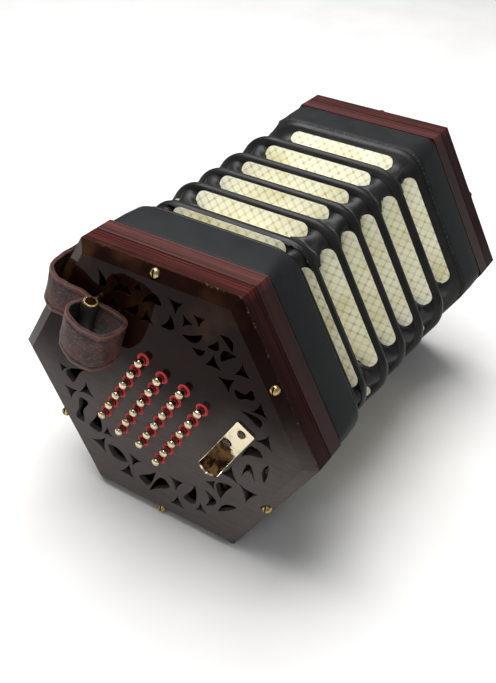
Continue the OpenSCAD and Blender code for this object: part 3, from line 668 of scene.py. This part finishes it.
def smooth_path(path, steps=6):
    """Catmull-Rom curve through the points."""
    out, last = [], len(path) - 1
    for i in range(last):
        p = [Vector(path[j]) for j in (max(i - 1, 0), i, i + 1, min(i + 2, last))]
        for s in range(steps):
            t = s / steps
            out.append(0.5 * (2 * p[1] + (p[2] - p[0]) * t + (2 * p[0] - 5 * p[1] + 4 * p[2] - p[3]) * t ** 2
                              + (3 * p[1] - p[0] - 3 * p[2] + p[3]) * t ** 3))
    return out + [Vector(path[-1])]


def from_strap(side, u, x, v):
    """A point in the strap's own axes: along the panel, depth, and along the strap's width."""
    return at_end(side, x, u * math.cos(STRAP_TURN) - v * math.sin(STRAP_TURN),
                  u * math.sin(STRAP_TURN) + v * math.cos(STRAP_TURN))


def thumb_strap(side):
    """The strap along its path, wider and leaning out round its loop, with slightly wavy edges and faces."""
    path = smooth_path(STRAP_PATH)
    section = [(v, t, v + 0.5) for v, t in STRAP_FACE] + [(v, -t, v + 1.5) for v, t in reversed(STRAP_FACE)]
    points, places = [], []
    for i, p in enumerate(path):
        d = (path[min(i + 1, len(path) - 1)] - path[max(i - 1, 0)]).normalized()
        normal = Vector((-d.y, d.x))
        share = i / (len(path) - 1)
        loop = math.sin(math.pi * min(1, max(0, (share - LOOP_START) / LOOP_SPAN)))
        low = STRAP_TOP - STRAP_WIDTH - LOOP_WIDER * loop + waves(share, (0.35, 23, 0), (0.2, 51, 1))
        high = STRAP_TOP + waves(share, (0.25, 19, 2), (0.15, 61, 0))
        for v, t, where in section:
            wobble = waves(share, (0.16, 37, 9 * v), (0.13, 83, -6 * v), (0.09, 151, 14 * v))
            lean = LOOP_LEAN * loop * max(0.0, -v - 0.1)
            q = p + normal * (t * STRAP_THICK / 2 + wobble + lean)
            points.append(from_strap(side, q.x, q.y, low + (high - low) * (v + 0.5)))
            places.append((i * STRAP_STEP, where))
    count = len(section)
    faces = grid_faces(len(path), count, wrap_rows=False)
    faces += [list(range(count)), [(len(path) - 1) * count + i for i in reversed(range(count))]]
    obj = make(side + "_strap", points, faces, "strap")
    set_uv(obj, "strap", places)
    fix_normals(obj)
    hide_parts(side + "_thumb_strap")
    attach(obj, END_BODY[side])


def bridge_sleeve(side):
    """The strap's end, wrapped round the brass tube of its bridge; the tube's ends stay bare."""
    steps, points = 32, []
    low = STRAP_TOP - STRAP_WIDTH - 0.6
    for i in range(steps):
        a = 2 * math.pi * i / steps
        high = STRAP_TOP + 1.2 - 1.8 * math.sin(a) + 0.15 * math.sin(7 * a)
        section = [(3.62, low), (4.1, low + 0.1), (4.25, low + 0.5), (4.2, low + 8), (4.28, high - 6),
                   (4.25, high - 0.5), (4.1, high - 0.1), (3.62, high)]
        for j, (r, v) in enumerate(section):
            fold = 0.12 * math.sin(5 * a + j) if 0 < j < 7 else 0.0
            along, depth = BRIDGE[0] + (r + fold) * math.cos(a), BRIDGE[1] + (r + fold) * math.sin(a)
            points.append(from_strap(side, along, depth, v))
    faces = grid_faces(steps, len(section))
    obj = make(side + "_bridge_sleeve", points, faces, "sleeve")
    fix_normals(obj)
    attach(obj, END_BODY[side])


# ---- Finger plate ----
REST_MID = 41.8                                     # across the button rows
REST_TOP, REST_BEND, REST_TIP = 36.0, 14.0, 1.0     # along them: screwed end, start of the lip, its tip
REST_WIDTH, REST_LIP, REST_THICK = 11.8, 9.0, 1.2   # the lip rises by REST_LIP
REST_SCREWS = [(39.4, 18.5), (41.8, 30.5)]
DISH_RADIUS, DISH_DEPTH = 2.9, 0.5                  # hollow under each screw's head
RIM_START, RIM_DROP = 0.93, 0.35                    # rounded rim, from this share of the half-width
ROW_COS, ROW_SIN = 0.866, 0.5                       # slant of the button rows


def from_rows(side, s, t, x):
    """A point in the button rows' axes: across the rows, along them, and depth."""
    return at_end(side, x, -ROW_COS * s - ROW_SIN * t, -ROW_SIN * s + ROW_COS * t)


def rest_surface(v, w):
    """Place across, place along and lift of the top surface: w runs from the screwed end to the lip's tip."""
    length = REST_TOP - REST_TIP
    bend_share = (REST_TOP - REST_BEND) / length
    if w < bend_share:
        u, t = 0.0, REST_TOP - length * w
        v *= 1 - 0.10 * max(0.0, 1 - w / 0.035) ** 2
    else:
        u = (w - bend_share) / (1 - bend_share)
        t = REST_BEND - u * (REST_BEND - REST_TIP - 4.5 * v * v)
    return v, t, REST_LIP * u * u + 1.6 * max(0.0, -v) ** 2 * u


def rest_grid(columns, rows):
    """Points [s, t, lift, drop] of the finger plate, sunk round its screws and at its rim."""
    grid = []
    for i in range(rows + 1):
        for j in range(columns + 1):
            v, t, lift = rest_surface(spread(j, columns), i / rows)
            s = REST_MID + v * REST_WIDTH / 2
            dish = 0.0
            for screw in REST_SCREWS:
                r = math.hypot(s - screw[0], t - screw[1])
                dish = max(dish, DISH_DEPTH * max(0.0, 1 - (r / DISH_RADIUS) ** 4))
            rim = RIM_DROP * max(0.0, (abs(v) - RIM_START) / (1 - RIM_START)) ** 2
            grid.append((s, t, lift, dish + rim))
    return grid


def finger_plate(side):
    """Plate screwed down at one end, its other end curled up into a lip."""
    columns, rows = 28, 64
    grid = rest_grid(columns, rows)
    points = [from_rows(side, s, t, PANEL_X - REST_THICK - lift + drop) for s, t, lift, drop in grid]
    points += [from_rows(side, s, t, PANEL_X - lift - 0.03) for s, t, lift, drop in grid]
    w, base = columns + 1, len(grid)
    faces = grid_faces(rows + 1, w, False, False)
    faces += [[base + i for i in reversed(f)] for f in grid_faces(rows + 1, w, False, False)]
    border = ([j for j in range(w)] + [i * w + w - 1 for i in range(1, rows + 1)]
              + [rows * w + j for j in reversed(range(w - 1))] + [i * w for i in reversed(range(1, rows))])
    faces += [[a, b, base + b, base + a] for a, b in zip(border, border[1:] + border[:1])]
    obj = make(side + "_finger_rest", points, faces, "nickel")
    set_uv(obj, "plate", [(0.5 + 0.5 * spread(j, columns), i / rows)
                          for i in range(rows + 1) for j in range(columns + 1)] * 2)
    fix_normals(obj)
    bevel = obj.modifiers.new("rim", "BEVEL")
    bevel.width = 0.25 * MM
    bevel.segments = 3
    bevel.limit_method = "ANGLE"
    bevel.angle_limit = math.radians(50)
    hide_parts(side + "_finger_plate")
    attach(obj, END_BODY[side])


# ---- Buttons and felt ----
ROW_FIRST, ROW_GAP, BUTTON_PITCH = -19.1, 12.85, 10.7
ROW_MID = [-8.8, -8.8, -3.8, -4.6]      # middle of each row, along it
PER_ROW = 6


def felt_rings(side):
    """Felt bushings: a soft ring round each button, a little proud of the panel."""
    section = [(2.1, -0.5), (2.08, -4.2), (2.3, -4.6), (2.7, -4.75), (3.2, -4.65), (3.6, -4.3), (3.65, -4.04),
               (3.48, -3.9), (3.48, -0.5)]
    rng = random.Random(4)
    steps, points, faces = 28, [], []
    for row, middle in enumerate(ROW_MID):
        for i in range(PER_ROW):
            s = ROW_FIRST + row * ROW_GAP
            t = middle + ((PER_ROW - 1) / 2 - i) * BUTTON_PITCH
            base = len(points)
            for a in range(steps):
                angle = 2 * math.pi * a / steps
                fuzz = rng.uniform(-0.08, 0.08)
                for r, x in section:
                    r2 = r + (fuzz if r > 2.2 and x < -4.1 else 0)
                    points.append(from_rows(side, s + r2 * math.cos(angle), t + r2 * math.sin(angle),
                                            x - (fuzz if x < -4.8 else 0)))
            faces += grid_faces(steps, len(section), base=base)
    obj = make(side + "_felt_rings", points, faces, "felt")
    fix_normals(obj)
    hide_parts(side + "_button_bushings")
    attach(obj, END_BODY[side])


# ---- CAD nodes that stay ----
def finish_cad_nodes():
    """Gives the nodes that aren't replaced their materials."""
    looks = {"end_plate": "panel", "action_box": "rosewood", "action_board": "pale_wood",
             "reed_pan": "pale_wood", "levers": "brass", "reeds": "brass", "end_bolts": "bolt",
             "strap_bridge": "brass", "screws": "screw", "fixings": "screw"}
    for name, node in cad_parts.items():
        key = "button" if "_button_" in name and "bushings" not in name else looks.get(name[3:])
        if key:
            node.data.materials.clear()
            node.data.materials.append(MATERIALS[key])


for k in range(FOLDS):
    bellows_fold(k)
    bellows_papers(k)
for k in range(1, FOLDS):
    ridge_binding(k)
for side in (NEAR, FAR):
    leather_frame(side)
    thumb_strap(side)
    bridge_sleeve(side)
    finger_plate(side)
    felt_rings(side)
finish_cad_nodes()


# ---- Camera, floor and light ----
CAMERA_PLACE = (-0.3999, -0.2180, 0.3744)
CAMERA_FORWARD, CAMERA_UP = (0.6955, 0.4158, -0.5860), (0.4806, 0.3370, 0.8096)
CAMERA_LENS, CAMERA_SENSOR = 47.08, 36
FLOOR_REACH = 6.0


def look_matrix(position, forward, up):
    """Matrix of a camera at a place, looking forward."""
    f, u = Vector(forward).normalized(), Vector(up)
    r = f.cross(u).normalized()
    u = r.cross(f)
    return Matrix(((r.x, u.x, -f.x, position[0]), (r.y, u.y, -f.y, position[1]),
                   (r.z, u.z, -f.z, position[2]), (0, 0, 0, 1)))


def area_light(name, position, target, size, power):
    """A rectangular softbox of this many watts, turned towards its target."""
    data = bpy.data.lights.new(name, "AREA")
    data.shape = "RECTANGLE"
    data.size, data.size_y = size
    data.energy = power
    lamp = bpy.data.objects.new(name, data)
    bpy.context.scene.collection.objects.link(lamp)
    lamp.location = position
    lamp.rotation_euler = (Vector(target) - Vector(position)).to_track_quat("-Z", "Y").to_euler()


def pale_floor():
    """A plain, faintly speckled floor."""
    s = Shader("pale_floor", Roughness=0.75)
    speck = s.clouds(14, 3, 0.5)
    material = s.set(Base_Color=s.mix(s.ramp(speck, 0.3, 0.7), (0.74, 0.73, 0.71), (0.78, 0.77, 0.75)))
    mesh = bpy.data.meshes.new("floor")
    corners = [(-1, -1), (1, -1), (1, 1), (-1, 1)]
    mesh.from_pydata([(x * FLOOR_REACH, y * FLOOR_REACH, 0) for x, y in corners], [], [(0, 1, 2, 3)])
    mesh.materials.append(material)
    floor = bpy.data.objects.new("floor", mesh)
    bpy.context.scene.collection.objects.link(floor)


def studio_world():
    """Faint bluish light from all round."""
    world = bpy.data.worlds.new("studio")
    world.use_nodes = True
    background = world.node_tree.nodes["Background"].inputs
    background["Color"].default_value = (0.92, 0.95, 1.0, 1)
    background["Strength"].default_value = 0.27
    bpy.context.scene.world = world


def stage():
    """The camera at the photograph's angle, the floor and the lights."""
    camera_data = bpy.data.cameras.new("camera")
    camera_data.lens, camera_data.sensor_width = CAMERA_LENS, CAMERA_SENSOR
    camera = bpy.data.objects.new("camera", camera_data)
    bpy.context.scene.collection.objects.link(camera)
    camera.matrix_world = look_matrix(CAMERA_PLACE, CAMERA_FORWARD, CAMERA_UP)
    bpy.context.scene.camera = camera
    pale_floor()
    area_light("top_softbox", position=(0.12, 0.34, 1.5), target=(0, 0, 0.1), size=(1.3, 1.3), power=39)
    area_light("side_softbox", position=(-0.2, -1.3, 0.9), target=(0, 0, 0.08), size=(0.9, 0.9), power=0.8)
    area_light("strip_light", position=(-1.6, -0.3, 1.2), target=(0, 0, 0.08), size=(0.15, 1.0), power=3)
    studio_world()


stage()
bpy.context.scene.view_settings.view_transform = "Standard"
